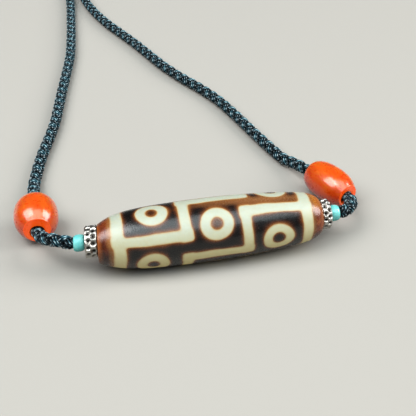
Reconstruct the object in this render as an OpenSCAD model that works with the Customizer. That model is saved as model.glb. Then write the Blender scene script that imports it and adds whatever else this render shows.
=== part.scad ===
// Necklace of one long patterned agate bead on a round braided cord.
// The necklace lies on a level surface at z = 0, with the long bead along X.
// Millimetres.

/* [Long bead] */
// Length of the long bead
bead_len = 39.5; // [36:0.5:39.5]
// Diameter of the hole through the long bead
bead_bore = 2.5; // [2.5:0.1:2.8]
// Height of the thread above the long bead's own axis at its left end
thread_lift = 0.7; // [0.5:0.1:0.7]

/* [Silver spacers] */
// Outer diameter of a spacer
cap_dia = 5.6; // [5:0.1:6.4]
// Length of the left spacer
cap_len_left = 2.1; // [1.6:0.1:2.2]
// Length of the right spacer
cap_len_right = 1.6; // [1.4:0.1:1.7]
// Hole through a spacer
cap_bore = 2.2; // [1.8:0.1:2.6]
// Number of pits in each of the two rows round a spacer
pit_count = 12; // [8:1:13]
// Diameter of the ball that presses a pit
pit_dia = 0.9; // [0.6:0.05:1]
// Depth of a pit
pit_depth = 0.32; // [0.15:0.01:0.4]

/* [Turquoise beads] */
// Outer diameter of a turquoise bead
turquoise_dia = 3; // [2.6:0.1:3.6]
// Length of a turquoise bead
turquoise_len = 1.9; // [1.5:0.1:2]
// Hole through a turquoise bead
turquoise_bore = 1.6; // [1.5:0.1:1.8]

/* [Coral beads] */
// Diameter of the left coral bead
coral_dia_left = 8.1; // [7.9:0.1:8.3]
// Length of the left coral bead
coral_len_left = 8; // [7:0.1:8.4]
// Diameter of the right coral bead
coral_dia_right = 7.1; // [6.9:0.1:7.3]
// Length of the right coral bead
coral_len_right = 9.8; // [8.6:0.1:10]
// Direction of the right coral bead's hole, in degrees from +X
coral_turn_right = -67; // [-69:1:-65]
// Hole through a coral bead
coral_bore = 3.1; // [3:0.1:3.4]
// Height of a coral bead's own axis above its hole
coral_bore_drop = 0.6; // [0.5:0.1:0.7]
// Diameter of the sunk dish round each mouth of a coral bead
dish_dia = 4.7; // [3.8:0.1:4.8]
// Depth of the dish
dish_depth = 0.5; // [0.2:0.1:0.8]

/* [Cord] */
// Diameter of the braided cord
cord_dia = 2.55; // [2.3:0.05:2.6]
// Diameter of the thread inside the beads
thread_dia = 1.1; // [0.9:0.1:1.1]
// Diameter of the whipped knot that closes the loop
knot_dia = 4.6; // [4:0.1:5]
// Length of the whipped knot
knot_len = 9; // [7:0.5:9]

/* [Hidden] */

round_fn = 96;
small_fn = 48;
seat_gap = 0.1;
cord_sides = 8;

// Outline of the long bead: share of the half length from the middle, radius.
// The left half is the fuller one, and the left end is cut square.
BEAD_OUTLINE = [
    [-1.00, 3.35],
    [-0.95, 3.90],
    [-0.87, 4.50],
    [-0.71, 5.13],
    [-0.46, 5.48],
    [-0.15, 5.60],
    [0.15, 5.56],
    [0.46, 5.27],
    [0.71, 4.84],
    [0.87, 4.38],
    [0.95, 3.80],
    [0.985, 3.30],
    [1.00, 2.85]
];
outline_steps = 4;
bead_outline_smooth = [
    for (i = [0:len(BEAD_OUTLINE) - 2], k = [0:outline_steps - 1])
        on_spline(BEAD_OUTLINE, i, k / outline_steps),
    BEAD_OUTLINE[len(BEAD_OUTLINE) - 1]
];
bead_r = max([for (row = bead_outline_smooth) row[1]]);
bead_pos = [2, -5.8, bead_r];

// Along the thread, counted from the middle of the long bead
cap_in = bead_len / 2 + seat_gap;
cap_out_left = cap_in + cap_len_left;
cap_out_right = cap_in + cap_len_right;
turquoise_out_left = cap_out_left + seat_gap + turquoise_len;
turquoise_out_right = cap_out_right + seat_gap + turquoise_len;
thread_len = turquoise_out_left + turquoise_out_right;
thread_tilt = atan(thread_lift / thread_len);

coral_pos_left = [-28.15, 6.35, coral_dia_left / 2];
coral_pos_right = [28.15, 6.05, coral_dia_right / 2];
coral_curve_left = 2.4;
coral_curve_right = 2;
coral_steps = 12;

knot_pos = [-11.8, 197.5, knot_dia / 2];

// Routes of the two cords, from the turquoise beads to the knot, about three diameters a step.
// Each passes through its coral bead and then lies on the surface.
ROUTE_LEFT = [
    [-22.1, -5.8, 6.3],
    [-23.9, -4.7, 6.2],
    [-25.7, -3.2, 5.7],
    [-27, -1.3, 4.8],
    [-27.8, 0.7, 4],
    [-28.1, 2.6, 3.5],
    [-28.2, 6.4, 3.5],
    [-28.2, 10.3, 3.6],
    [-28.3, 14.5, 2.9],
    [-28.3, 19, 1.8],
    [-27.8, 23.5, 1.3],
    [-26.4, 30.5, 1.3],
    [-24.5, 37.5, 1.3],
    [-22.7, 44.5, 1.3],
    [-21.4, 51.5, 1.3],
    [-20.2, 58.5, 1.3],
    [-18.9, 65.5, 1.3],
    [-17.6, 72.5, 1.3],
    [-16.5, 79.5, 1.3],
    [-15.8, 86.5, 1.3],
    [-15.2, 93.5, 1.3],
    [-14.7, 100.5, 1.3],
    [-14.2, 107.5, 1.3],
    [-13.8, 114.5, 1.3],
    [-13.8, 121.5, 1.3],
    [-15.5, 128.5, 1.3],
    [-19.5, 134.5, 1.3],
    [-25, 139.5, 1.3],
    [-30.5, 144.5, 1.3],
    [-35.5, 150, 1.3],
    [-39.5, 156.5, 1.3],
    [-42, 163.5, 1.3],
    [-42.5, 170.5, 1.3],
    [-41, 177.5, 1.3],
    [-38, 184, 1.3],
    [-33, 189.5, 1.3],
    [-27, 194, 1.5],
    [-21.5, 196.5, 1.9],
    [-16.4, 197.5, 2.3]
];
ROUTE_RIGHT = [
    [25.6, -5.8, 5.6],
    [27, -5, 5.2],
    [28.5, -3.5, 4.7],
    [29.6, -1.6, 4.1],
    [30.1, 0.3, 3.6],
    [29.9, 1.9, 3.1],
    [29.1, 3.8, 3],
    [28.2, 6, 3],
    [26.2, 10.5, 3.1],
    [25, 13.9, 2.8],
    [24, 17.3, 1.9],
    [22.7, 20.5, 1.3],
    [20.6, 27.5, 1.3],
    [18.8, 34.5, 1.3],
    [17, 41.5, 1.3],
    [15, 48, 1.3],
    [12.1, 54.5, 1.3],
    [8.7, 61, 1.3],
    [5.8, 67.5, 1.3],
    [3.3, 74.5, 1.3],
    [0.9, 81.5, 1.3],
    [-1.8, 88.5, 1.3],
    [-4.6, 95.5, 1.3],
    [-6.9, 102.5, 1.3],
    [-8.6, 109.5, 1.3],
    [-9.7, 116.5, 1.3],
    [-9.6, 123.5, 1.3],
    [-7.5, 130, 1.3],
    [-3, 136, 1.3],
    [2.5, 141, 1.3],
    [8, 146, 1.3],
    [12.5, 152, 1.3],
    [16, 158.5, 1.3],
    [18, 165.5, 1.3],
    [18.5, 172.5, 1.3],
    [17, 179.5, 1.3],
    [13, 186, 1.3],
    [8, 191, 1.3],
    [2, 194.5, 1.5],
    [-2.6, 196.5, 1.9],
    [-7.2, 197.5, 2.3]
];

// Smooth curve through four points, from p1 at t = 0 to p2 at t = 1
function spline(p0, p1, p2, p3, t) =
    0.5 * (2 * p1
        + (p2 - p0) * t
        + (2 * p0 - 5 * p1 + 4 * p2 - p3) * t * t
        + (3 * p1 - p0 - 3 * p2 + p3) * t * t * t);

// Entry i of a list, with the ends carried on in a straight line
function entry(list, i) =
    i < 0 ? 2 * list[0] - list[1]
    : i >= len(list) ? 2 * list[len(list) - 1] - list[len(list) - 2]
    : list[i];

function on_spline(list, i, t) =
    spline(entry(list, i - 1), entry(list, i), entry(list, i + 1), entry(list, i + 2), t);

function unit(v) = v / norm(v);

function ring_points(centre, along) =
    let (side = unit(cross([0, 0, 1], along)), up = cross(along, side))
    [for (k = [0:cord_sides - 1])
        let (a = 360 * k / cord_sides)
        centre + cord_dia / 2 * (cos(a) * side + sin(a) * up)];

// Rounded bead outline in half sections, from -half to +half:
// a super-ellipse of exponent curve that ends on a face of radius face_r
function barrel_outline(half, r, face_r, curve, steps) = [
    for (k = [-steps:steps])
        let (t = sin(90 * k / steps))
        [face_r + (r - face_r) * pow(1 - pow(abs(t), curve), 1 / curve), half * t]
];

// A drilled bead along Z, with a dish sunk into both faces
module drilled_bead(outline, half, bore_r, mouth_r, mouth_depth) {
    rotate_extrude($fn = round_fn)
        polygon(concat(outline, [
            [mouth_r, half],
            [bore_r, half - mouth_depth],
            [bore_r, mouth_depth - half],
            [mouth_r, -half]
        ]));
}

// Direction of a route at point i. Both ends meet a flat face that looks along X.
function route_direction(route, i) =
    let (last = len(route) - 1)
    i == 0 ? [sign(route[1][0] - route[0][0]), 0, 0]
    : i == last ? [sign(route[last][0] - route[last - 1][0]), 0, 0]
    : unit(route[i + 1] - route[i - 1]);

// A tube swept along a route, with a ring at each of its points
module cord_tube(route) {
    last = len(route) - 1;
    points = [for (i = [0:last]) each ring_points(route[i], route_direction(route, i))];
    sides = [for (i = [0:last - 1], k = [0:cord_sides - 1])
        let (a = i * cord_sides + k, b = i * cord_sides + (k + 1) % cord_sides)
        each [[a, a + cord_sides, b], [b, a + cord_sides, b + cord_sides]]];
    start_face = [for (k = [0:cord_sides - 1]) k];
    end_face = [for (k = [cord_sides - 1:-1:0]) last * cord_sides + k];
    polyhedron(points = points, faces = concat([start_face], sides, [end_face]));
}

// Height of the thread at a distance along X from the middle of the long bead
function thread_z(x) = bead_r + thread_lift * (turquoise_out_right - x) / thread_len;

// Places a child whose axis is Z on the thread, centred at x
module on_thread(x) {
    translate([bead_pos[0] + x, bead_pos[1], thread_z(x)])
        rotate([0, 90, 0])
            children();
}

module spacer(length) {
    edge = 0.25;
    half = length / 2;
    r = cap_dia / 2;
    row_offset = length * 0.23;
    outline = [
        [r - edge, -half],
        [r, edge - half],
        [r, half - edge],
        [r - edge, half]
    ];
    difference() {
        drilled_bead(outline, half, cap_bore / 2, cap_bore / 2 + edge, edge);
        for (row = [-1, 1], k = [0:pit_count - 1])
            rotate([0, 0, 360 * (k + (row + 1) / 4) / pit_count])
                translate([r + pit_dia / 2 - pit_depth, 0, row * row_offset])
                    sphere(d = pit_dia, $fn = small_fn);
    }
}

module turquoise() {
    half = turquoise_len / 2;
    face_r = turquoise_bore / 2 + 0.2;
    drilled_bead(barrel_outline(half, turquoise_dia / 2, face_r, 2.4, 8),
        half, turquoise_bore / 2, turquoise_bore / 2 + 0.1, 0.1);
}

module coral(dia, length, curve) {
    half = length / 2;
    difference() {
        drilled_bead(barrel_outline(half, dia / 2, dish_dia / 2 + 0.1, curve, coral_steps),
            half, 0, dish_dia / 2, dish_depth);
        translate([coral_bore_drop, 0, 0])
            cylinder(h = length + 1, d = coral_bore, center = true, $fn = small_fn);
    }
}

module dzi_bead() {
    half = bead_len / 2;
    outline = [for (row = bead_outline_smooth) [row[1], half * row[0]]];
    color("saddlebrown")
        translate(bead_pos)
            rotate([0, 90, 0])
                drilled_bead(outline, half, bead_bore / 2, bead_bore / 2 + 0.3, 0.3);
}

module end_cap_left() {
    color("silver")
        on_thread(-cap_in - cap_len_left / 2)
            spacer(cap_len_left);
}

module end_cap_right() {
    color("silver")
        on_thread(cap_in + cap_len_right / 2)
            spacer(cap_len_right);
}

module turquoise_left() {
    color("turquoise")
        on_thread(turquoise_len / 2 - turquoise_out_left)
            turquoise();
}

module turquoise_right() {
    color("turquoise")
        on_thread(turquoise_out_right - turquoise_len / 2)
            turquoise();
}

module coral_left() {
    color("orangered")
        translate(coral_pos_left)
            rotate([0, 90, 90])
                coral(coral_dia_left, coral_len_left, coral_curve_left);
}

module coral_right() {
    color("orangered")
        translate(coral_pos_right)
            rotate([0, 90, coral_turn_right])
                coral(coral_dia_right, coral_len_right, coral_curve_right);
}

module core_thread() {
    middle = (turquoise_out_right - turquoise_out_left) / 2;
    color("darkslategray")
        on_thread(middle)
            rotate([0, thread_tilt, 0])
                cylinder(h = thread_len - seat_gap, d = thread_dia, center = true, $fn = small_fn);
}

module cord_left() {
    color("darkslategray")
        cord_tube(ROUTE_LEFT);
}

module cord_right() {
    color("darkslategray")
        cord_tube(ROUTE_RIGHT);
}

module closing_knot() {
    half = knot_len / 2;
    r = knot_dia / 2;
    edge = 0.9;
    color("darkslategray")
        translate(knot_pos)
            rotate([0, 90, 0])
                rotate_extrude($fn = round_fn)
                    polygon([
                        [0, -half],
                        [r - edge, -half],
                        [r, edge - half],
                        [r, half - edge],
                        [r - edge, half],
                        [0, half]
                    ]);
}

dzi_bead();
end_cap_left();
end_cap_right();
turquoise_left();
turquoise_right();
coral_left();
coral_right();
core_thread();
cord_left();
cord_right();
closing_knot();
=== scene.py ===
import math

import bpy
import numpy as np
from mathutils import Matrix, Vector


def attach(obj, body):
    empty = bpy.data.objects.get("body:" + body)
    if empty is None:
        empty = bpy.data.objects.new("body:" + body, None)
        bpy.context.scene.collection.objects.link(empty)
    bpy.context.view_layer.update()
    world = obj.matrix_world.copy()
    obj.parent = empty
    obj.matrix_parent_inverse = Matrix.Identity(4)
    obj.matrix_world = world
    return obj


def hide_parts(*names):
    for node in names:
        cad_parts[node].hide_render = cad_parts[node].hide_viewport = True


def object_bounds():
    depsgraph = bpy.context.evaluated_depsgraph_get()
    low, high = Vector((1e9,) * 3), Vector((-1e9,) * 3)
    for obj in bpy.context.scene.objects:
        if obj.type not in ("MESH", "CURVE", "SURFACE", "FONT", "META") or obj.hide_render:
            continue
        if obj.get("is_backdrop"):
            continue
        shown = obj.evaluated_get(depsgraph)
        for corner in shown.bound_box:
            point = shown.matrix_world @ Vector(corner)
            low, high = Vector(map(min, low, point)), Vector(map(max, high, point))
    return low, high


# Dzi bead necklace. Shapes are worked out in millimetres and built in metres.
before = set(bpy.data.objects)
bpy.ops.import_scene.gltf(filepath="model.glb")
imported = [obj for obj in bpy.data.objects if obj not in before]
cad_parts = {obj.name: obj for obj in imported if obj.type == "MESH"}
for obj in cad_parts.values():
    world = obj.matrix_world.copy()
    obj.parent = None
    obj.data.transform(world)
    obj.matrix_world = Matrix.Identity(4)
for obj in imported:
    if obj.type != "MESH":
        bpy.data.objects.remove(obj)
cad_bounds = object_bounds()
MM = 0.001
TAU = 2 * math.pi


def plain(value):
    if hasattr(value, "tolist"):
        return value.tolist()
    if isinstance(value, (list, tuple)) or hasattr(value, "__len__"):
        return [plain(v) for v in value]
    return float(value)


# ---------------------------------------------------------------- camera and light

# Fitted to the long bead's outline in the photograph, in metres and degrees
CAMERA_PLACE = (-0.02288, -0.11857, 0.09405)
CAMERA_DOWN, CAMERA_TURN = 36, -12.12
FOCAL_LENGTH, SENSOR_WIDTH = 71.466, 36.0

camera_data = bpy.data.cameras.new("camera")
camera_data.sensor_width = SENSOR_WIDTH
camera_data.lens = FOCAL_LENGTH
camera_data.clip_start = 0.005
camera = bpy.data.objects.new("camera", camera_data)
camera.location = CAMERA_PLACE
camera.rotation_euler = (math.radians(90 - CAMERA_DOWN), 0, math.radians(CAMERA_TURN))
bpy.context.collection.objects.link(camera)
bpy.context.scene.camera = camera
bpy.context.scene.view_settings.view_transform = "Standard"
bpy.context.scene.view_settings.gamma = 0.85    # for the photograph's contrast

# Soft windows that face the object: azimuth from +X and height in degrees, distance, width and
# height in metres, brightness, colour. The first three make the highlights, the last is a fill.
WINDOWS = [
    ("light_left", 186, 55, 1.50, 1.00, 1.15, 8.5, (0.985, 0.98, 1.0)),
    ("light_over", 272, 68, 1.60, 1.75, 1.45, 4.0, (0.86, 0.97, 1.0)),
    ("light_right", -10, 33, 1.50, 0.74, 1.04, 11.5, (1.0, 0.985, 0.985)),
    ("light_front", -100, 24, 1.80, 2.00, 0.90, 0.4, (1.0, 0.97, 0.92))]
WORLD_COLOR, WORLD_STRENGTH = (0.80, 0.83, 0.88, 1), 0.15


def window(name, azimuth, elevation, away, width, height, brightness, color):
    a, e = math.radians(azimuth), math.radians(elevation)
    x, y, z = (away * math.cos(e) * math.cos(a), away * math.cos(e) * math.sin(a),
               away * math.sin(e))
    data = bpy.data.lights.new(name, "AREA")
    data.shape = "RECTANGLE"
    data.size = width
    data.size_y = height
    data.energy = brightness * math.pi * width * height
    data.color = color
    light = bpy.data.objects.new(name, data)
    light.location = (x, y, z)
    light.rotation_euler = (math.atan2(math.hypot(x, y), z), 0, math.atan2(x, -y))
    bpy.context.collection.objects.link(light)


for numbers in WINDOWS:
    window(*numbers)
world = bpy.data.worlds.new("world")
world.use_nodes = True
world.node_tree.nodes["Background"].inputs["Color"].default_value = WORLD_COLOR
world.node_tree.nodes["Background"].inputs["Strength"].default_value = WORLD_STRENGTH
bpy.context.scene.world = world


# ---------------------------------------------------------------- materials

# The windows are brighter than full white, which gives the photograph's strong highlights. Base
# colours are darkened by this factor in return, so that lit surfaces look as their colours say.
UNDER_WINDOWS = 0.52


def linear(color):
    """Linear base colour of an 8-bit one. One for a surface in shade may go over 255."""
    return tuple(UNDER_WINDOWS * (((c / 255 + 0.055) / 1.055) ** 2.4 if c > 10 else c / 255 / 12.92)
                 for c in color)


class Nodes:
    """A material's node tree: each method adds a node and gives back its output."""

    def __init__(self, name):
        self.material = bpy.data.materials.new(name)
        self.material.use_nodes = True
        self.tree = self.material.node_tree
        self.shader = self.tree.nodes["Principled BSDF"]
        metres = self.add("ShaderNodeTexCoord").outputs["Object"]
        self.mm = self.stretched(metres, (1 / MM, 1 / MM, 1 / MM))

    def add(self, kind, settings=None, **inputs):
        node = self.tree.nodes.new(kind)
        for key, value in (settings or {}).items():
            setattr(node, key, value)
        for key, value in inputs.items():
            self.put(node.inputs[key.replace("_", " ")], value)
        return node

    def put(self, socket, value):
        if isinstance(value, bpy.types.NodeSocket):
            self.tree.links.new(value, socket)
        elif isinstance(value, tuple) and len(value) == 3 and socket.type == "RGBA":
            socket.default_value = (*value, 1.0)
        else:
            socket.default_value = value

    def stretched(self, vector, factors):
        node = self.add("ShaderNodeVectorMath", {"operation": "MULTIPLY"})
        self.put(node.inputs[0], vector)
        node.inputs[1].default_value = factors
        return node.outputs["Vector"]

    def noise(self, per_mm, detail=3.0, rough=0.5, vector=None, distortion=0.0):
        node = self.add("ShaderNodeTexNoise", Vector=vector or self.mm, Scale=per_mm,
                        Detail=detail, Roughness=rough, Distortion=distortion)
        return node.outputs["Fac"]

    def cells(self, per_mm, feature="F1"):
        node = self.add("ShaderNodeTexVoronoi", {"feature": feature}, Vector=self.mm, Scale=per_mm)
        return node.outputs["Distance"]

    def value(self, name):
        return self.add("ShaderNodeAttribute", {"attribute_name": name}).outputs["Fac"]

    def facing_up(self):
        """1 where the surface faces up, -1 where it faces down."""
        normal = self.add("ShaderNodeNewGeometry").outputs["Normal"]
        return self.add("ShaderNodeSeparateXYZ", Vector=normal).outputs["Z"]

    def math(self, operation, a, b=0.0):
        node = self.add("ShaderNodeMath", {"operation": operation})
        self.put(node.inputs[0], a)
        self.put(node.inputs[1], b)
        return node.outputs[0]

    def total(self, first, *others):
        for other in others:
            first = self.math("ADD", first, other)
        return first

    def less(self, a, b):
        return self.math("SUBTRACT", a, b)

    def times(self, a, b):
        return self.math("MULTIPLY", a, b)

    def ranged(self, value, low, high, to_low=0.0, to_high=1.0):
        node = self.add("ShaderNodeMapRange")
        self.put(node.inputs["Value"], value)
        node.inputs["From Min"].default_value = low
        node.inputs["From Max"].default_value = high
        node.inputs["To Min"].default_value = to_low
        node.inputs["To Max"].default_value = to_high
        return node.outputs["Result"]

    def ramp(self, value, stops):
        node = self.add("ShaderNodeValToRGB", Fac=value)
        elements = node.color_ramp.elements
        while len(elements) < len(stops):
            elements.new(0.5)
        for element, (place, color) in zip(elements, stops):
            element.position = place
            element.color = (*linear(color), 1.0)
        return node.outputs["Color"]

    def mix(self, factor, a, b):
        node = self.add("ShaderNodeMix", {"data_type": "RGBA"})
        color_a, color_b, color_result = node.inputs[6], node.inputs[7], node.outputs[2]
        self.put(node.inputs[0], factor)
        self.put(color_a, linear(a) if isinstance(a, tuple) else a)
        self.put(color_b, linear(b) if isinstance(b, tuple) else b)
        return color_result

    def bump(self, height, depth_mm, strength):
        return self.add("ShaderNodeBump", Height=height, Distance=depth_mm * MM,
                        Strength=strength).outputs["Normal"]

    def finish(self, **inputs):
        for key, value in inputs.items():
            self.put(self.shader.inputs[key.replace("_", " ")], value)
        return self.material


PLY_STEP = 0.62      # mm between the twists of a yarn


def cord_material():
    """Satin yarn with painted shade and painted highlights: dark in the valleys of the braid and on
    the sides of each yarn as painted shade, with a tone for each yarn, filaments and twists along
    it, and pale flecks on the twists, which are painted glints."""
    n = Nodes("braided_cord")
    tone, along, height, crest = (n.value(key) for key in ("tone", "along", "height", "crest"))
    twist = n.total(n.times(crest, 1.6), n.times(along, 2.4))
    filament_place = n.add("ShaderNodeCombineXYZ", X=n.times(along, 0.8), Y=twist,
                           Z=n.times(tone, 60.0)).outputs["Vector"]
    filaments = n.noise(2.4, 2.0, 0.6, filament_place)
    patches = n.noise(0.5, 2.0, 0.5)
    ply = n.math("SINE", n.total(n.times(along, TAU / PLY_STEP), n.times(filaments, 4.0)))
    # Painted shade: darker where a strand passes under, at a strand's edges and on a yarn's sides,
    # lighter on the crests; tone, patches, filaments and twists are the yarn's own
    shade = n.total(n.ranged(height, 0.2, 0.95, 0.0, 0.64), n.ranged(crest, 0.15, 0.95, 0.0, 0.24),
                    n.times(filaments, 0.24), n.times(n.less(n.total(tone, patches), 1.0), 0.34),
                    n.times(ply, 0.11))
    color = n.ramp(shade, [(0.30, (3, 10, 14)), (0.54, (12, 38, 48)), (0.78, (40, 88, 102)),
                           (0.98, (128, 178, 188))])
    # Painted highlights: pale glints on the tops of the twists, where light would catch
    flecks = n.ranged(n.noise(1.8, 1.0, 0.5, filament_place), 0.34, 0.50)
    on_top = n.times(n.ranged(height, 0.2, 0.6), n.ranged(crest, 0.3, 0.85))
    painted_glints = n.times(n.times(n.ranged(ply, 0.1, 0.8), flecks), on_top)
    color = n.mix(n.times(painted_glints, 0.95), color, (226, 242, 246))
    return n.finish(Base_Color=color, Roughness=n.ranged(filaments, 0.3, 0.7, 0.30, 0.50),
                    Specular_IOR_Level=0.22, Specular_Tint=(0.75, 0.92, 1.0),
                    Normal=n.bump(filaments, 0.05, 0.9))


# ---------------------------------------------------------------- shape helpers

def mesh_piece(name, verts, faces, material, values, node):
    """A piece that replaces a CAD node, with values for the material at each point."""
    mesh = bpy.data.meshes.new(name)
    mesh.from_pydata((np.asarray(verts) * MM).tolist(), [], np.asarray(faces).tolist())
    mesh.polygons.foreach_set("use_smooth", np.ones(len(mesh.polygons), dtype=bool))
    for key, numbers in values.items():
        layer = mesh.attributes.new(key, "FLOAT", "POINT")
        layer.data.foreach_set("value", np.asarray(numbers, dtype=np.float32).ravel())
    mesh.update()
    piece = bpy.data.objects.new(name, mesh)
    bpy.context.collection.objects.link(piece)
    mesh.materials.append(material)
    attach(piece, "root")
    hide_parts(node)
    return piece


def sleeve(rings, sides, closed=False):
    """Faces of a grid of rings. closed also joins the last ring to the first."""
    i = np.arange(rings if closed else rings - 1)[:, None]
    k = np.arange(sides)[None, :]
    nxt = (i + 1) % rings
    a, b = i * sides + k, i * sides + (k + 1) % sides
    c, d = nxt * sides + (k + 1) % sides, nxt * sides + k
    return np.stack([a, b, c, d], axis=-1).reshape(-1, 4)


def bead_piece(name, points, sides, material, values, node):
    """A drilled bead: its rings go along the outside and back through the hole."""
    faces = sleeve(len(points) // sides, sides, closed=True)[:, ::-1]
    return mesh_piece(name, points, faces, material, values, node)


def spline(points, per_step):
    """Catmull-Rom curve through points, as in the CAD source."""
    p = np.asarray(points, dtype=float)
    p = np.vstack([2 * p[0] - p[1], p, 2 * p[-1] - p[-2]])
    t = np.linspace(0, 1, per_step, endpoint=False)[:, None]
    parts = [0.5 * (2 * b + (c - a) * t + (2 * a - 5 * b + 4 * c - d) * t ** 2
                    + (3 * b - a - 3 * c + d) * t ** 3)
             for a, b, c, d in zip(p[:-3], p[1:-2], p[2:-1], p[3:])]
    return np.vstack(parts + [p[-2:-1]])


def distance_along(line):
    return np.concatenate([[0], np.cumsum(np.linalg.norm(np.diff(line, axis=0), axis=1))])


def even_steps(line, step):
    """The same line with a point every step, and the distance along it."""
    far = distance_along(line)
    count = max(2, int(round(far[-1] / step)) + 1)
    s = np.linspace(0, far[-1], count)
    return np.stack([np.interp(s, far, line[:, k]) for k in range(line.shape[1])], axis=1), s


def from_ends(s):
    """Distance to the nearer end, from the distance along a line."""
    return np.minimum(s, s[-1] - s)


def unit(rows):
    return rows / np.linalg.norm(rows, axis=1, keepdims=True)


def carried_frames(line):
    """Two directions across a line, carried along it without twist."""
    along = unit(np.gradient(line, axis=0))
    side = np.cross([0, 0, 1.0], along[0])
    side /= np.linalg.norm(side)
    sides = [side]
    for t in along[1:]:
        side = side - t * side.dot(t)
        side = side / np.linalg.norm(side)
        sides.append(side)
    sides = np.array(sides)
    return sides, np.cross(along, sides)


def circles(line, side, up, radii, angle):
    """Points round a line, ring after ring, at angles from side towards up."""
    r = np.broadcast_to(np.asarray(radii, dtype=float), len(line))[:, None, None]
    points = line[:, None] + r * (np.cos(angle)[None, :, None] * side[:, None]
                                  + np.sin(angle)[None, :, None] * up[:, None])
    return points.reshape(-1, 3)


def even_angles(sides):
    return np.arange(sides) * TAU / sides


def tube(line, radii, sides):
    return circles(line, *carried_frames(line), radii, even_angles(sides))


def turned(degrees):
    """The same angle between -180 and 180 degrees."""
    return (np.asarray(degrees) + 180) % 360 - 180


# ---------------------------------------------------------------- cords

CORD_DIA = 2.55
ROUTE_LEFT = [
    (-22.1, -5.8, 6.3), (-23.9, -4.7, 6.2), (-25.7, -3.2, 5.7), (-27, -1.3, 4.8),
    (-27.8, 0.7, 4), (-28.1, 2.6, 3.5), (-28.2, 6.4, 3.5), (-28.2, 10.3, 3.6),
    (-28.3, 14.5, 2.9), (-28.3, 19, 1.8), (-27.8, 23.5, 1.3), (-26.4, 30.5, 1.3),
    (-24.5, 37.5, 1.3), (-22.7, 44.5, 1.3), (-21.4, 51.5, 1.3), (-20.2, 58.5, 1.3),
    (-18.9, 65.5, 1.3), (-17.6, 72.5, 1.3), (-16.5, 79.5, 1.3), (-15.8, 86.5, 1.3),
    (-15.2, 93.5, 1.3), (-14.7, 100.5, 1.3), (-14.2, 107.5, 1.3), (-13.8, 114.5, 1.3),
    (-13.8, 121.5, 1.3), (-15.5, 128.5, 1.3), (-19.5, 134.5, 1.3), (-25, 139.5, 1.3),
    (-30.5, 144.5, 1.3), (-35.5, 150, 1.3), (-39.5, 156.5, 1.3), (-42, 163.5, 1.3),
    (-42.5, 170.5, 1.3), (-41, 177.5, 1.3), (-38, 184, 1.3), (-33, 189.5, 1.3),
    (-27, 194, 1.5), (-21.5, 196.5, 1.9), (-16.4, 197.5, 2.3)]
ROUTE_RIGHT = [
    (25.6, -5.8, 5.6), (27, -5, 5.2), (28.5, -3.5, 4.7), (29.6, -1.6, 4.1),
    (30.1, 0.3, 3.6), (29.9, 1.9, 3.1), (29.1, 3.8, 3), (28.2, 6, 3),
    (26.2, 10.5, 3.1), (25, 13.9, 2.8), (24, 17.3, 1.9), (22.7, 20.5, 1.3),
    (20.6, 27.5, 1.3), (18.8, 34.5, 1.3), (17, 41.5, 1.3), (15, 48, 1.3),
    (12.1, 54.5, 1.3), (8.7, 61, 1.3), (5.8, 67.5, 1.3), (3.3, 74.5, 1.3),
    (0.9, 81.5, 1.3), (-1.8, 88.5, 1.3), (-4.6, 95.5, 1.3), (-6.9, 102.5, 1.3),
    (-8.6, 109.5, 1.3), (-9.7, 116.5, 1.3), (-9.6, 123.5, 1.3), (-7.5, 130, 1.3),
    (-3, 136, 1.3), (2.5, 141, 1.3), (8, 146, 1.3), (12.5, 152, 1.3),
    (16, 158.5, 1.3), (18, 165.5, 1.3), (18.5, 172.5, 1.3), (17, 179.5, 1.3),
    (13, 186, 1.3), (8, 191, 1.3), (2, 194.5, 1.5), (-2.6, 196.5, 1.9),
    (-7.2, 197.5, 2.3)]
CURVE_STEPS, CORE_CURVE_STEPS = 40, 20   # points of the curve from one of the route's to the next
BRAID_STEP = 0.34    # between the rings of a yarn
BRAID_LAY = 5.6      # length of one turn of a strand
STRANDS = 2          # strands each way
STRAND_WIDE = 0.80   # half width and half thickness of a strand of parallel yarns
STRAND_DEEP = 0.34
STRAND_RISE = 0.19   # how far a strand swings out and in as it passes over and under
YARN_R = 0.195
YARN_PLACES = (-102, -52, 0, 52, 102)                # degrees round a strand
YARN_CORNERS = np.radians([0, 85, 180, 275])         # round a yarn
SWAY, SWAY_LENGTH = 0.05, 3.7            # how unevenly a strand turns, in radians and over mm
WANDER, WANDER_LENGTH = 0.02, 1.7        # how far a yarn wanders in its strand, and over what
END_SHARE, END_TAPER = 0.6, 0.7          # share of its size left at a braid's ends, and over what
STRAND_TONES, YARN_TONES = (0.35, 0.65), (-0.3, 0.3)     # what varies from one to the next
CORE_R, CORE_STEP, CORE_SIDES = 0.62, 1.1, 10
CORE_END_R, CORE_TAPER = 0.02, 0.5


class Tubes:
    """Tubes gathered into one piece, with what the cord's material reads at each point: the yarn's
    tone, the distance along it, crest (1 on its outer side) and height (1 on top of the braid).
    Crest and height set the material's painted shade and painted glints."""

    def __init__(self):
        self.verts, self.faces, self.count = [], [], 0
        self.values = {"tone": [], "along": [], "crest": [], "height": []}

    def add(self, points, sides, **values):
        """A tube's points, ring after ring. Its values are spread over its rings and sides."""
        rings = len(points) // sides
        self.verts.append(points)
        self.faces.append(sleeve(rings, sides) + self.count)
        self.count += len(points)
        for key, parts in self.values.items():
            parts.append(np.broadcast_to(values.get(key, 0.0), (rings, sides)).ravel())

    def piece(self, name, node):
        values = {key: np.concatenate(parts) for key, parts in self.values.items()}
        return mesh_piece(name, np.vstack(self.verts), np.vstack(self.faces), cord_look,
                          values, node)


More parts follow.
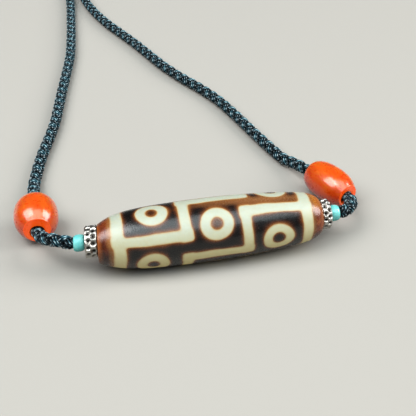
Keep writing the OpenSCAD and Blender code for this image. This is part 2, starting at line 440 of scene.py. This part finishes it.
def braid(name, node, route, phase, seed):
    """Round braid of four strands, two each way, each a flat bundle of parallel yarns, on a core.
    Gives back the piece, its path and its length, both in metres."""
    line, s = even_steps(spline(route, CURVE_STEPS), BRAID_STEP)
    side, up = carried_frames(line)
    rng = np.random.default_rng(seed)
    spin = TAU / BRAID_LAY
    mid_r = CORD_DIA / 2 - STRAND_DEEP - STRAND_RISE
    close = END_SHARE + (1 - END_SHARE) * np.clip(from_ends(s) / END_TAPER, 0, 1) ** 0.5
    tubes = Tubes()
    for way in (1, -1):
        for strand in range(STRANDS):
            angle = phase + strand * TAU / STRANDS + way * spin * s
            angle = angle + SWAY * np.sin(s / SWAY_LENGTH + rng.uniform(0, TAU))
            wave = way * np.cos(STRANDS * spin * s)
            over = (0.5 + 0.5 * wave) ** 0.8
            r = (mid_r + STRAND_RISE * wave) * close
            out = np.cos(angle)[:, None] * side + np.sin(angle)[:, None] * up
            middle = line + r[:, None] * out
            along = unit(np.gradient(middle, axis=0))
            across = unit(np.cross(along, out))
            out = np.cross(across, along)
            strand_tone = rng.uniform(*STRAND_TONES)
            for place in np.radians(YARN_PLACES):
                wander = WANDER * np.sin(s / WANDER_LENGTH + rng.uniform(0, TAU))
                wide = (STRAND_WIDE - YARN_R) * math.sin(place) + wander
                deep = (STRAND_DEEP - YARN_R) * math.cos(place) - rng.uniform(0, 0.02)
                centre = middle + close[:, None] * (wide[:, None] * across + deep * out)
                facing = math.cos(place) * out + math.sin(place) * across
                points = circles(centre, facing, np.cross(along, facing), YARN_R * close,
                                 YARN_CORNERS)
                tone = np.clip(strand_tone + rng.uniform(*YARN_TONES), 0, 1)
                far = s + rng.uniform(0, 50)
                # height: painted shade, lower where the strand passes under and towards its edges
                height = over * (0.3 + 0.7 * max(0.0, math.cos(place * 0.9)))
                tubes.add(points, len(YARN_CORNERS), tone=tone, along=far[:, None],
                          crest=np.cos(YARN_CORNERS), height=height[:, None])
    core_line, core_s = even_steps(spline(route, CORE_CURVE_STEPS), CORE_STEP)
    core_r = CORE_END_R + CORE_R * np.clip(from_ends(core_s) / CORE_TAPER, 0, 1) ** 0.5
    tubes.add(tube(core_line, core_r, CORE_SIDES), CORE_SIDES, along=core_s[:, None])
    return tubes.piece(name, node), (line * MM).tolist(), float(s[-1] * MM)


cord_look = cord_material()
braid_left, path_left, length_left = braid(
    "cord_left_braid", "cord_left", ROUTE_LEFT, phase=0.35, seed=40)
braid_right, path_right, length_right = braid(
    "cord_right_braid", "cord_right", ROUTE_RIGHT, phase=0.0, seed=5)

KNOT = np.array([-11.8, 197.5, 2.3])     # its middle; it lies along X
KNOT_LEN, KNOT_R, KNOT_EDGE = 9.0, 2.3, 0.9      # the last is a chamfer
WHIP_R, WHIP_TURNS, WHIP_SIDES = 0.31, 14.4, 10
WHIP_STEPS = 44                          # rings a turn
KNOT_CORE_HALF, KNOT_CORE_R, KNOT_CORE_RINGS, KNOT_CORE_SIDES = 4.3, 1.75, 30, 24
CONE_R, CONE_AT = 1.25, 4.4              # radius of the core's end cones, so far from its middle


def knot():
    """Whipping of a thinner line, wound tight round the place where the two cords meet."""
    t = np.linspace(0, 1, int(WHIP_TURNS * WHIP_STEPS))
    x = (t - 0.5) * (KNOT_LEN - 2 * WHIP_R)
    r = np.minimum(KNOT_R, KNOT_R - KNOT_EDGE + (KNOT_LEN / 2 - np.abs(x))) - WHIP_R
    angle = WHIP_TURNS * TAU * t
    line = KNOT + np.stack([x, r * np.cos(angle), r * np.sin(angle)], axis=1)
    crest = np.cos(even_angles(WHIP_SIDES))
    tubes = Tubes()
    # crest and height give the whipping painted shade on the sides of its turns
    tubes.add(tube(line, WHIP_R, WHIP_SIDES), WHIP_SIDES, tone=0.45,
              along=distance_along(line)[:, None], crest=crest, height=0.55 + 0.3 * crest)
    core = np.tile(KNOT, (KNOT_CORE_RINGS, 1))
    core[:, 0] += np.linspace(-KNOT_CORE_HALF, KNOT_CORE_HALF, KNOT_CORE_RINGS)
    core_r = np.minimum(KNOT_CORE_R, CONE_R + CONE_AT - np.abs(core[:, 0] - KNOT[0]))
    tubes.add(tube(core, core_r, KNOT_CORE_SIDES), KNOT_CORE_SIDES)
    return tubes.piece("closing_knot_whipping", "closing_knot")


whipping = knot()


# ---------------------------------------------------------------- long bead

BEAD_HALF = 39.5 / 2
BEAD_R = 5.6
BEAD_OUTLINE = [     # share of the half length, radius
    (-1.00, 3.35), (-0.95, 3.90), (-0.87, 4.50), (-0.71, 5.13), (-0.46, 5.48), (-0.15, BEAD_R),
    (0.15, 5.56), (0.46, 5.27), (0.71, 4.84), (0.87, 4.38), (0.95, 3.80), (0.985, 3.30),
    (1.00, 2.85)]
BEAD_POS = np.array([2.0, -5.8, 5.607])
BEAD_CURVE_STEPS, BEAD_STEP, BEAD_SIDES = 24, 0.155, 216
BEAD_BORE, BEAD_BORE_RINGS = 1.25, 20
FACE_STEPS, FACE_TO = (0.25, 0.5, 0.75), 0.3     # rings of an end face, and how near the hole
HOLE_EDGE = [(0.02, 0.25), (0.3, 0.0)]           # depth in the hole, how much wider it is there
FACING = 36.0        # the angle of the pattern's front above the level
LEFT_SLANT = 0.11    # the left end is cut a little off square, and what is next to it leans with it
LEFT_SHIFT = 0.2
SLANT_FROM, SLANT_OVER = -17.0, 2.6      # where the lean sets in, and over what length
TIPS_FROM, TIPS_OVER = 17.2, 0.9         # where the brown tips begin, from the bead's middle
THREAD_END, THREAD_LEN = 23.45, 47.4     # the thread's right end, from the bead's middle
THREAD_LIFT = 0.7                        # how much higher its left end lies


def thread_rise(x):
    """Height of the thread above the long bead's axis, at x from the bead's middle."""
    return THREAD_LIFT * (THREAD_END - x) / THREAD_LEN


def on_thread(x):
    """The point of the thread at x."""
    return np.array([x, BEAD_POS[1], BEAD_POS[2] + thread_rise(x - BEAD_POS[0])])


def front_angles(sides):
    """Degrees round a bead from the pattern's front, and the angle above the level in radians."""
    angle = np.arange(sides) * 360.0 / sides - 180.0
    return angle, np.radians(FACING + angle)


def smooth_least(a, b, k):
    """The lesser of two distances, with a fillet of about k between them."""
    h = np.clip(0.5 + 0.5 * (b - a) / k, 0, 1)
    return b + (a - b) * h - k * h * (1 - h)


BAR_CORNER, BAR_FILLET, BAND_FILLET = 0.42, 0.7, 0.4


def bar(u, v, u0, u1, v0, v1, half):
    """Signed distance to an upright or level bar with slightly rounded corners."""
    du = np.abs(u - (u0 + u1) / 2) - (abs(u1 - u0) / 2 + half - BAR_CORNER)
    dv = np.abs(v - (v0 + v1) / 2) - (abs(v1 - v0) / 2 + half - BAR_CORNER)
    outside = np.hypot(np.maximum(du, 0), np.maximum(dv, 0))
    return outside + np.minimum(np.maximum(du, dv), 0) - BAR_CORNER


EYES = [             # place along the bead, angle round it, outer radius, radius of the dot
    (-10.65, 50, 2.74, 1.05), (-11.15, -60, 2.82, 1.12), (-10.8, 172, 2.78, 1.10),
    (0.10, 10.5, 2.88, 1.17), (0.30, 131, 2.82, 1.15), (0.0, -110, 2.85, 1.18),
    (10.9, -34, 2.80, 1.25), (11.0, 85, 2.84, 1.20), (10.8, 206, 2.80, 1.16)]
STAIRS = [           # angle round the bead of each stepped line, half width of its middle step
    (72, 1.12), (192, 0.95), (312, 0.88)]
STAIR_LOW, STAIR_MIDDLE, STAIR_TOP = -76, -0.5, 76       # degrees from that angle
LEFT_BAND, RIGHT_BAND = (-16.72, 0.97), (16.38, 0.96)    # place along the bead, half width


def pattern(x, angle):
    """Distance in mm from the pale lines: under 0 inside a line, over 0 in the dark fields."""
    per_degree = math.radians(BEAD_R)
    a = np.radians(angle)
    xx = (x + 0.07 * np.sin(3 * a + 0.5) + 0.04 * np.sin(5 * a + x / 3.0)
          + 0.02 * np.sin(9 * a + 1.3 * x))
    wave = (0.08 * np.sin(x / 2.6 + 2 * a) + 0.04 * np.sin(x / 1.1 + 3 * a + 1.0)
            + 0.02 * np.sin(1.9 * x))
    left = np.abs(xx - LEFT_BAND[0]) - LEFT_BAND[1]
    right = np.abs(xx - RIGHT_BAND[0]) - RIGHT_BAND[1] - 0.05 * np.sin(2 * a)
    pale = smooth_least(left, right, BAND_FILLET)
    low, mid, top = (v * per_degree for v in (STAIR_LOW, STAIR_MIDDLE, STAIR_TOP))
    for stair_angle, middle_half in STAIRS:
        v = turned(angle - stair_angle) * per_degree + wave
        # from and to along the bead, from and to round it, half width
        steps = [(-16.7, -5.2, low, low, 0.93), (-5.2, -5.2, low, mid, 0.89),
                 (-5.2, 5.35, mid, mid, middle_half), (5.35, 5.35, mid, top, 0.84),
                 (5.35, 16.4, top, top, 0.97)]
        stair = bar(xx, v, *steps[0])
        for step in steps[1:]:
            stair = smooth_least(stair, bar(xx, v, *step), BAR_FILLET)
        pale = smooth_least(pale, stair, BAR_FILLET)
    for number, (ex, ea, outer, dot) in enumerate(EYES):
        du, dv = x - ex, turned(angle - ea) * per_degree
        turn = np.arctan2(dv, du)
        r = np.hypot(du, dv) * (1 + 0.018 * np.sin(2 * turn + number)
                                + 0.012 * np.sin(3 * turn + 2 * number))
        pale = np.minimum(pale, np.maximum(r - outer, dot - r))
    return pale


def bead_material():
    """Agate with pale etched lines: an amber margin next to each line, then brown and near black.
    The lines are matt, and the tips are brown."""
    n = Nodes("etched_agate")
    ink, amber = n.value("ink"), n.value("amber")
    cloud = n.noise(0.32, 3.0, 0.55)
    grain = n.noise(2.2, 4.0, 0.6)
    fine = n.noise(9.0, 2.0, 0.5)
    place = n.add("ShaderNodeSeparateXYZ", Vector=n.mm).outputs
    height = place["Z"]
    from_middle = n.math("ABSOLUTE", n.less(place["X"], float(BEAD_POS[0]) - 0.3))
    warm = n.total(n.times(amber, 2.2), n.ranged(cloud, 0.4, 0.7, 0.0, 0.45))
    edge = n.total(ink, n.times(n.less(grain, 0.5), 0.10), n.times(n.less(fine, 0.5), 0.05))

    depth = n.math("DIVIDE", edge, n.total(0.72, warm))
    dark = n.ramp(n.ranged(depth, 0.0, 1.6), [
        (0.0, (200, 160, 102)), (0.09, (156, 100, 52)), (0.22, (102, 58, 30)),
        (0.40, (54, 30, 19)), (0.64, (20, 13, 10)), (1.0, (7, 6, 6))])
    dark = n.mix(n.ranged(grain, 0.35, 0.75, 0.0, 0.2), dark, (32, 17, 10))
    dark = n.mix(n.ranged(amber, 0.3, 1.0, 0.0, 0.85), dark, (166, 116, 72))

    # Painted shade: the brown tips are painted darker towards the bottom; the clouds and the warmer
    # right tip are their own colour
    glow = n.total(n.ranged(cloud, 0.3, 0.7, 0.0, 0.35), n.ranged(height, 2.5, 11.0, 0.0, 0.6),
                   n.ranged(place["X"], -10.0, 20.0, 0.0, 0.13))
    tip = n.ramp(glow, [(0.2, (24, 11, 7)), (0.42, (76, 32, 15)), (0.64, (140, 64, 26)),
                        (0.86, (196, 126, 50))])
    # The amber rim at the very ends is partly the stone's amber and partly painted light through
    # the thin edge, stronger towards the top
    rim = n.times(n.ranged(from_middle, 19.1, 19.8), n.ranged(height, 4.5, 9.0, 0.3, 0.95))
    tip = n.mix(rim, tip, (192, 112, 48))
    tip = n.mix(n.ranged(edge, 0.0, 0.75), (190, 136, 76), tip)
    dark = n.mix(n.value("ends"), dark, tip)

    mottle = n.total(n.times(cloud, 0.5), n.times(grain, 0.5))
    pale = n.ramp(n.ranged(mottle, 0.3, 0.7),
                  [(0.0, (200, 203, 179)), (0.5, (204, 209, 189)), (1.0, (207, 213, 197))])
    # Painted light: the pale lines are painted warmer and brighter towards the bottom, against the
    # shade there
    pale = n.mix(n.ranged(height, 0.5, 9.5, 0.85, 0.0), pale, (286, 260, 166))
    pale = n.mix(n.ranged(edge, -0.30, 0.0, 0.0, 0.55), pale, (212, 180, 122))

    color = n.mix(n.ranged(edge, -0.08, 0.09), pale, dark)
    pits = n.times(n.ranged(n.cells(1.7), 0.0, 0.09, 1.0, 0.0),
                   n.ranged(n.noise(0.8, 1.0), 0.5, 0.62))
    color = n.mix(n.times(pits, 0.65), color, (96, 62, 36))
    scratch = n.noise(1.0, 2.0, 0.5, n.stretched(n.mm, (9.0, 0.9, 1.6)))
    relief = n.total(n.less(n.times(scratch, 0.35), n.times(pits, 0.9)),
                     n.times(n.noise(0.9, 2.0), 0.6))
    rough = n.total(n.ranged(grain, 0.3, 0.7, 0.23, 0.31), n.times(pits, 0.3),
                    n.ranged(edge, -0.10, 0.10, 0.20, 0.0))
    return n.finish(Base_Color=color, Roughness=rough, IOR=1.5, Specular_IOR_Level=0.62,
                    Subsurface_Weight=0.10, Subsurface_Radius=(1.0, 0.5, 0.25),
                    Subsurface_Scale=0.8 * MM, Normal=n.bump(relief, 0.07, 0.7))


# Warmer clouds in the dark fields: place, spread, angle, spread of it, strength. The second, near
# -1 mm and 50 degrees, is painted reflection, a warm sheen on the middle field's top.
AMBER = [(10, 8.5, 52, 13, 1.0), (-1, 6, 50, 9, 0.42), (-12, 4, -24, 12, 0.12), (12, 4, -4, 8, 0.3),
         (-10, 6, 12, 9, 0.12), (-8, 8, 150, 16, 0.7), (9, 7, -150, 15, 0.8), (2, 8, -90, 12, 0.35),
         (0.1, 1.4, 10.5, 14, 0.35), (-10.65, 1.4, 50, 14, 0.3)]


def long_bead():
    outline = spline(BEAD_OUTLINE, BEAD_CURVE_STEPS) * np.array([BEAD_HALF, 1.0])
    profile, _ = even_steps(outline, BEAD_STEP)
    angle, lift = front_angles(BEAD_SIDES)
    rings, ink, ends, amber = [], [], [], []

    def ring(x, r, rise):
        cut = np.clip((SLANT_FROM - x) / SLANT_OVER, 0, 1)
        slant = LEFT_SLANT * cut * cut * (3 - 2 * cut)
        y = -r * np.cos(lift)
        shift = LEFT_SHIFT * slant / LEFT_SLANT
        rings.append(np.stack([x + slant * y - shift, y, rise + r * np.sin(lift)], axis=1))
        amber.append(sum(np.exp(-((x - bx) / wx) ** 2 - (turned(angle - ba) / wa) ** 2) * size
                         for bx, wx, ba, wa, size in AMBER))
        ink.append(pattern(np.full(BEAD_SIDES, x), angle))
        ends.append(np.full(BEAD_SIDES, np.clip((abs(x) - TIPS_FROM) / TIPS_OVER, 0, 1)))

    def face_ring(end, edge_r, share):
        r = edge_r * (1 - share) + (BEAD_BORE + FACE_TO) * share
        ring(end, r, thread_rise(end) * share)

    for x, r in profile:
        ring(x, r, 0.0)
    for share in FACE_STEPS:
        face_ring(BEAD_HALF, profile[-1][1], share)
    for depth, wider in HOLE_EDGE:
        ring(BEAD_HALF - depth, BEAD_BORE + wider, thread_rise(BEAD_HALF))
    for x in np.linspace(BEAD_HALF - 1, 1 - BEAD_HALF, BEAD_BORE_RINGS):
        ring(x, BEAD_BORE, thread_rise(x))
    for depth, wider in HOLE_EDGE[::-1]:
        ring(depth - BEAD_HALF, BEAD_BORE + wider, thread_rise(-BEAD_HALF))
    for share in FACE_STEPS[::-1]:
        face_ring(-BEAD_HALF, profile[0][1], share)
    values = {"ink": np.concatenate(ink), "ends": np.concatenate(ends),
              "amber": np.concatenate(amber)}
    bead_piece("dzi_bead_etched", np.vstack(rings) + BEAD_POS, BEAD_SIDES, bead_material(),
               values, "dzi_bead")


long_bead()


# ---------------------------------------------------------------- coral and turquoise beads

def barrel(half, r, face_r, curve, steps, softer=(0.0, 0.0), soft_curve=(3.0, 3.0)):
    """Outline of a barrel, a superellipse of power curve. Each pair is for its first end and its
    last: face_r is the end's radius, and softer is the share of another outline, of power
    soft_curve, which falls away sooner and leaves a rim."""
    t = np.sin(np.linspace(-math.pi / 2, math.pi / 2, steps))
    soft = np.where(t < 0, *softer)
    power = np.where(t < 0, *soft_curve)
    face = np.where(t < 0, *face_r)
    full = (1 - np.abs(t) ** curve) ** (1 / curve)
    full = full * (1 - soft) + (1 - np.abs(t) ** power) * soft
    return np.stack([half * t, face + (r - face) * full], axis=1)


LUMPS = 0.02                             # how uneven a bead's outside is
MOUTH_STEPS = (0.08, 0.25, 0.45, 0.62, 0.76, 0.87, 0.95, 1.0)    # from the dish's edge to the hole
LIP = 0.16                               # rounding of the hole's edge
BORE_RINGS = 14
RIM_GLOW, MOUTH_GLOW, BORE_GLOW = 0.6, 0.7, 0.3      # painted glow at the rim, the dish's edge and in the hole


def drilled(name, node, material, centre, axis, profile, bore, dish_r, dish_depth, seed,
            drop=0.0, sides=96, slant=0.0):
    """A turned bead along a level axis, with a dish round each end of its hole, which is set lower
    than its own axis by drop. Each mouth, its rim and the hole are marked for a painted glow in the
    material, an emission that stands in for light through the thin wall."""
    axis = np.array([axis[0], axis[1], 0.0]) / math.hypot(axis[0], axis[1])
    across = np.array([-axis[1], axis[0], 0.0])
    up = np.array([0, 0, 1.0])
    angle = even_angles(sides)
    rng = np.random.default_rng(seed)
    waves = [(rng.integers(2, 6), rng.uniform(0.2, 0.6), rng.uniform(0, TAU)) for _ in range(4)]
    rings, painted_glows = [], []

    def ring(s, r, shift, lumps, glow):
        change = sum(np.sin(k * angle + f * s + p) for k, f, p in waves) / 4 * lumps
        c, w = (r + change) * np.cos(angle), (r + change) * np.sin(angle) - shift
        rings.append(s * axis + c[:, None] * across + w[:, None] * up)
        painted_glows.append(np.full(sides, glow))

    half = profile[-1][0]

    def mouth(sign, outer, order):
        for share in order:
            r = outer * (1 - share) + bore * share
            turn_in = max(0.0, 1 - (r - bore) / LIP)
            depth = dish_depth * (1 - r / outer) + LIP * (1 - math.sqrt(max(0.0, 1 - turn_in ** 2)))
            ring(sign * (half - depth), r, drop * share, 0.0, min(1.0, MOUTH_GLOW + share))

    for s, r in profile:
        share = abs(s) / half
        inset = LUMPS if 0.02 < share < 0.98 else 0      # keeps the lumps within the outline
        ring(s, r - inset, 0.0, LUMPS, RIM_GLOW if share > 0.995 else 0.0)
    mouth(1, dish_r[1], MOUTH_STEPS)
    inner = half - dish_depth - LIP
    for s in np.linspace(inner, -inner, BORE_RINGS):
        ring(s, bore, drop, 0.0, BORE_GLOW)
    mouth(-1, dish_r[0], MOUTH_STEPS[::-1])
    points = np.vstack(rings)
    points[:, 0] += slant * points[:, 1]
    bead_piece(name, points + np.asarray(centre), sides, material,
               {"mouth": np.concatenate(painted_glows)}, node)


def coral_material():
    """Glossy coral, painted a deeper red underneath as painted shade, with fine dust in its pores
    and a painted glow in its mouths.
    """
    n = Nodes("coral_red")
    cloud = n.noise(0.2, 2.0, 0.5, distortion=0.5)
    grain = n.noise(1.3, 2.0, 0.5)
    color = n.ramp(n.ranged(n.total(n.times(cloud, 0.88), n.times(grain, 0.12)), 0.3, 0.7),
                   [(0.0, (235, 90, 5)), (0.5, (247, 113, 10)), (1.0, (252, 134, 16))])
    # Painted shade: surfaces that face down are painted a deeper red
    color = n.mix(n.ranged(n.facing_up(), -0.4, 0.8, 0.75, 0.0), color, (206, 30, 2))
    dust = n.ranged(n.cells(2.4), 0.0, 0.07, 1.0, 0.0)
    color = n.mix(n.times(dust, 0.12), color, (170, 40, 6))
    # Painted light: the mouths glow by emission, standing in for light through the thin wall
    painted_mouth_glow = n.mix(n.value("mouth"), (0, 0, 0), (255, 108, 12))
    return n.finish(Base_Color=color, Roughness=n.ranged(grain, 0.3, 0.7, 0.26, 0.32), IOR=1.46,
                    Emission_Color=painted_mouth_glow, Emission_Strength=1.05, Specular_IOR_Level=0.5,
                    Subsurface_Weight=0.8, Subsurface_Radius=(1.0, 0.28, 0.05),
                    Subsurface_Scale=3.0 * MM, Coat_Weight=0.85, Coat_Roughness=0.17,
                    Normal=n.bump(n.less(n.times(grain, 0.5), dust), 0.03, 0.25))


coral_look = coral_material()
CORAL_DROP = 0.6
CORAL_RIGHT_TURN = math.radians(-67)
drilled("coral_left_bead", "coral_left", coral_look, (-28.15, 6.35, 4.05), (0, 1),
        barrel(half=4.0, r=4.05, face_r=(2.45, 2.45), curve=2.4, steps=64, softer=(0.97, 0.5),
               soft_curve=(2.45, 3.12)),
        bore=1.37, dish_r=(2.35, 2.35), dish_depth=0.18, seed=3, drop=CORAL_DROP)
drilled("coral_right_bead", "coral_right", coral_look, (28.15, 6.05, 3.55),
        (math.cos(CORAL_RIGHT_TURN), math.sin(CORAL_RIGHT_TURN)),
        barrel(half=4.9, r=3.55, face_r=(2.45, 2.15), curve=2.0, steps=64, softer=(0.5, 0.97),
               soft_curve=(2.6, 2.4)),
        bore=1.40, dish_r=(2.35, 2.05), dish_depth=0.4, seed=8, drop=CORAL_DROP)


def turquoise_material():
    """Turquoise with a few dark veins, painted a deeper colour underneath as painted shade."""
    n = Nodes("turquoise_stone")
    cloud = n.noise(0.9, 4.0, 0.6, distortion=0.8)
    grain = n.noise(5.0, 3.0, 0.55)
    color = n.ramp(n.ranged(cloud, 0.3, 0.7),
                   [(0.0, (112, 222, 222)), (0.5, (146, 242, 236)), (1.0, (182, 250, 242))])
    # Painted shade: surfaces that face down are painted a deeper, darker turquoise
    color = n.mix(n.ranged(n.facing_up(), -0.6, 0.6, 0.65, 0.0), color, (10, 186, 180))
    veins = n.ranged(n.cells(1.1, feature="DISTANCE_TO_EDGE"), 0.0, 0.035, 1.0, 0.0)
    color = n.mix(n.times(n.times(veins, n.ranged(cloud, 0.45, 0.6)), 0.6), color, (44, 92, 84))
    return n.finish(Base_Color=color, Roughness=n.ranged(grain, 0.3, 0.7, 0.16, 0.3), IOR=1.6,
                    Subsurface_Weight=0.08, Subsurface_Radius=(0.4, 0.8, 0.8),
                    Subsurface_Scale=0.6 * MM,
                    Normal=n.bump(n.less(n.times(grain, 0.5), veins), 0.05, 0.4))


turquoise_look = turquoise_material()
for node, x, seed, slant in (("turquoise_left", -21.0 - LEFT_SHIFT, 21, LEFT_SLANT),
                             ("turquoise_right", 24.5, 24, 0.0)):
    drilled(node + "_bead", node, turquoise_look, on_thread(x), (1, 0),
            barrel(half=0.95, r=1.5, face_r=(1.0, 1.0), curve=2.4, steps=28),
            bore=0.8, dish_r=(0.9, 0.9), dish_depth=0.1, seed=seed, sides=64, slant=slant)


# ---------------------------------------------------------------- silver spacers

def silver_material():
    """Bright silver with dark tarnish in its pits, darkest where they are deepest: partly the
    silver's own tarnish, partly painted shade.
    """
    n = Nodes("pitted_silver")
    grain = n.noise(3.0, 4.0, 0.6)
    # Partly painted shade: the pits are painted darker with their depth, over the silver's own
    # tarnish
    tarnish = n.ranged(n.total(n.value("pit"), n.times(n.less(grain, 0.5), 0.5)), 0.35, 0.95)
    color = n.mix(n.ranged(grain, 0.3, 0.7), (214, 208, 196), (250, 248, 243))
    color = n.mix(tarnish, color, (34, 27, 22))
    rough = n.total(n.ranged(grain, 0.3, 0.7, 0.28, 0.42), n.times(tarnish, 0.25))
    return n.finish(Base_Color=color, Metallic=1.0, Roughness=rough,
                    Normal=n.bump(n.noise(6.0, 3.0, 0.6), 0.05, 0.6))


SPACER_R, SPACER_EDGE, SPACER_BORE = 2.8, 0.25, 1.1
SPACER_SIDES, SPACER_RINGS, SPACER_EDGE_RINGS = 264, 26, 6
SPACER_FACE = (2.2, 1.8, SPACER_BORE + SPACER_EDGE)      # radii of an end face's rings
PIT_DEPTH, HAMMERED = 0.34, 0.03
PITS_A_ROW = 13


def spacer(name, node, x, length, rows, seed, slant=0.0):
    """A short silver ring with two staggered rows of round pits, and ridges left between them.
    rows gives each row's place, first angle and radius of a pit."""
    half = length / 2
    angle, lift = front_angles(SPACER_SIDES)
    around = np.radians(angle)
    corner = np.linspace(0, math.pi / 2, SPACER_EDGE_RINGS)
    left = [(-half + SPACER_EDGE * (1 - math.cos(c)), SPACER_R - SPACER_EDGE * (1 - math.sin(c)))
            for c in corner]
    flat = half - SPACER_EDGE
    middle = [(s, SPACER_R) for s in np.linspace(-flat, flat, SPACER_RINGS)[1:-1]]
    right = [(-s, r) for s, r in left[::-1]]
    rng = np.random.default_rng(seed)
    pits = []
    for place, first, size in rows:
        for k in range(PITS_A_ROW):
            pits.append((place + rng.uniform(-0.05, 0.05),
                         first + k * 360 / PITS_A_ROW + rng.uniform(-2, 2),
                         size * rng.uniform(0.88, 1.1)))
    rings, depth_of = [], []

    def ring(s, r, pitted):
        depth = np.zeros(SPACER_SIDES)
        for place, first, size in pits if pitted else ():
            d = np.hypot(s - place, turned(angle - first) * math.radians(SPACER_R)) / size
            depth = np.maximum(depth, np.clip(1 - d ** 2, 0, 1) ** 0.8)
        hammered = HAMMERED * (1 + np.sin(around * 11 + 3 * s + seed) * np.sin(around * 4 - 5 * s))
        rr = r - PIT_DEPTH * depth - hammered
        y, z = -rr * np.cos(lift), rr * np.sin(lift)
        rings.append(np.stack([np.full(SPACER_SIDES, s), y, z], axis=1))
        depth_of.append(depth)

    for s, r in left + middle + right:
        ring(s, r, True)
    for r in SPACER_FACE:
        ring(half, r, False)
    ring(flat, SPACER_BORE, False)
    ring(-flat, SPACER_BORE, False)
    for r in SPACER_FACE[::-1]:
        ring(-half, r, False)
    points = np.vstack(rings)
    points[:, 0] += slant * points[:, 1]
    # pit carries each point's depth in a pit, for the material's tarnish and painted shade
    bead_piece(name, points + on_thread(x), SPACER_SIDES, silver_look,
               {"pit": np.concatenate(depth_of)}, node)


silver_look = silver_material()
spacer("end_cap_left_silver", "end_cap_left", -18.9 - LEFT_SHIFT, 2.1,
       [(-0.44, 5.0, 0.47), (0.46, -7.5, 0.54)], seed=4, slant=LEFT_SLANT)
spacer("end_cap_right_silver", "end_cap_right", 22.65, 1.6,
       [(-0.37, 3.0, 0.44), (0.37, -11.0, 0.42)], seed=9)


# ---------------------------------------------------------------- thread inside the beads

def thread_material():
    n = Nodes("waxed_thread")
    twist = n.add("ShaderNodeTexWave", {"bands_direction": "DIAGONAL"}, Vector=n.mm, Scale=1.1,
                  Distortion=1.5, Detail=2.0).outputs["Fac"]
    return n.finish(Base_Color=n.mix(twist, (18, 30, 40), (52, 70, 84)),
                    Roughness=n.ranged(n.noise(4.0), 0.3, 0.7, 0.45, 0.65),
                    Normal=n.bump(twist, 0.08, 0.8))


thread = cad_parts["core_thread"]
thread.data.materials.clear()
thread.data.materials.append(thread_material())


# ---------------------------------------------------------------- floor

FLOOR_HALF, FLOOR_Z = 2.0, -5e-5         # metres; just under what lies on it


def floor():
    mesh = bpy.data.meshes.new("floor")
    corners = [(-1, -1), (1, -1), (1, 1), (-1, 1)]
    mesh.from_pydata([(x * FLOOR_HALF, y * FLOOR_HALF, FLOOR_Z) for x, y in corners], [],
                     [(0, 1, 2, 3)])
    obj = bpy.data.objects.new("floor", mesh)
    bpy.context.collection.objects.link(obj)
    n = Nodes("pale_floor")
    mesh.materials.append(n.finish(Base_Color=linear((196, 192, 184)), Roughness=0.9))
    obj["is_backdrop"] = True


floor()

{"cad": plain(cad_bounds), "visual": plain(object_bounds())}
